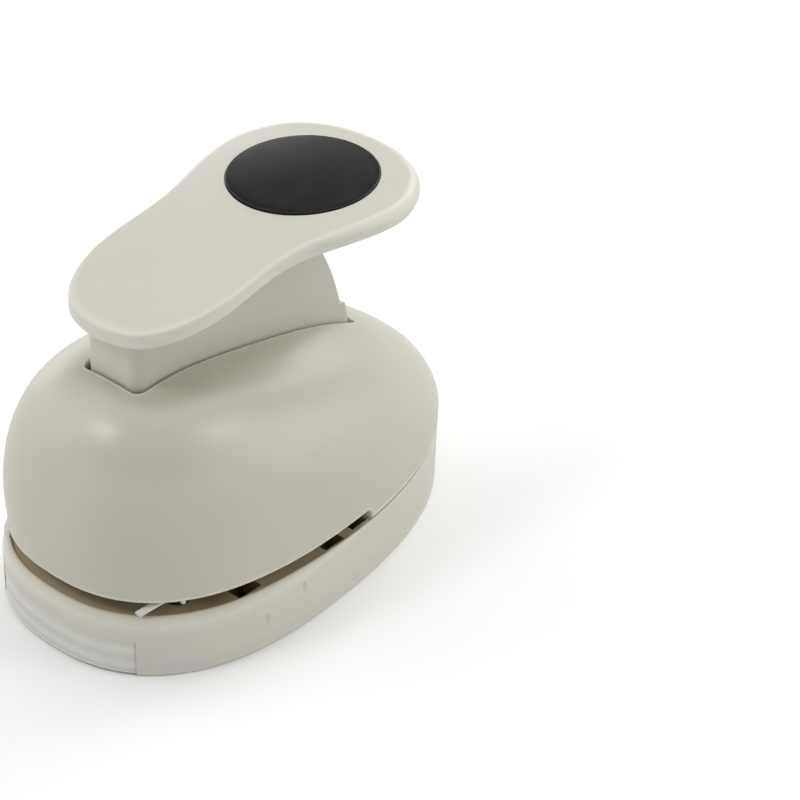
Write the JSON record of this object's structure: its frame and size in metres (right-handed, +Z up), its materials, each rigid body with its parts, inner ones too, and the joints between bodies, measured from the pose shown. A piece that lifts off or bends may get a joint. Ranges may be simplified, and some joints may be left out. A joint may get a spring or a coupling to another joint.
{
  "type": "circle punch",
  "caption": "Hand-held lever punch for cutting a small paper circle: rounded housing over a slotted base, broad thumb lever with a soft pad, and a chip tray at the nose.",
  "frame": {"origin": "middle of the footprint, on the table", "axes": "+Y from the slotted nose towards the thumb pad, +Z up, +X to the flank that the picture shows"},
  "size_m": [0.0504, 0.084, 0.0621],
  "materials": {
    "base_shell": "fine satin moulding, warm grey-beige",
    "upper_shell": "satin moulding, warm grey-beige",
    "lever": "satin moulding, light warm grey-beige",
    "thumb_pad": "smooth satin black",
    "chip_tray": "frosted, whitish grey",
    "paper_finger": "smooth, light",
    "tool_steel": "ground",
    "zinc_steel": "zinc plated",
    "spring_steel": "drawn wire",
    "punch_carrier": "natural nylon"
  },
  "bodies": {
    "housing": {"base_shell": "base_shell", "upper_shell": "upper_shell", "die_plate": "tool_steel", "guide_plate": "tool_steel", "slot_spacer": "zinc_steel", "frame_screw_left": "zinc_steel", "frame_screw_right": "zinc_steel", "die_screw_front_left": "zinc_steel", "die_screw_front_right": "zinc_steel", "die_screw_rear_left": "zinc_steel", "die_screw_rear_right": "zinc_steel", "housing_screw_left": "zinc_steel", "housing_screw_right": "zinc_steel", "housing_screw_rear": "zinc_steel", "guide_post_left": "tool_steel", "guide_post_right": "tool_steel", "post_clip_left": "spring_steel", "post_clip_right": "spring_steel", "lever_pin": "zinc_steel", "pin_clip_left": "spring_steel", "pin_clip_right": "spring_steel", "return_spring_left": "spring_steel", "return_spring_right": "spring_steel", "paper_finger_left": "paper_finger", "paper_finger_right": "paper_finger"},
    "lever": {"lever": "lever", "thumb_pad": "thumb_pad", "roller_pin": "zinc_steel"},
    "roller": {"press_roller": "tool_steel"},
    "punch": {"punch_carrier": "punch_carrier", "circle_cutter": "tool_steel", "cutter_screw_left": "zinc_steel", "cutter_screw_right": "zinc_steel"},
    "tray": {"chip_tray": "chip_tray"}
  },
  "joints": [
    {"name": "lever_press", "type": "hinge", "parent": "housing", "child": "lever", "pos_m": [0, -0.0225, 0.028], "axis": [-1, 0, 0], "range_deg": [0, 22], "stiffness_Nm_per_rad": 0.26, "springref_deg": -16.44},
    {"name": "roller_spin", "type": "hinge", "parent": "lever", "child": "roller", "pos_m": [0, -0.0123, 0.0306], "axis": [1, 0, 0], "continuous": true},
    {"name": "punch_stroke", "type": "slide", "parent": "housing", "child": "punch", "axis": [0, 0, -1], "range_m": [0, 0.0041], "deforming": ["return_spring_left", "return_spring_right"]},
    {"name": "tray_slide", "type": "slide", "parent": "housing", "child": "tray", "axis": [0, -1, 0], "range_m": [0, 0.04]}
  ],
  "couplings": [
    {"joint": "punch_stroke", "follows": "lever_press", "m_per_rad": 0.01044}
  ]
}
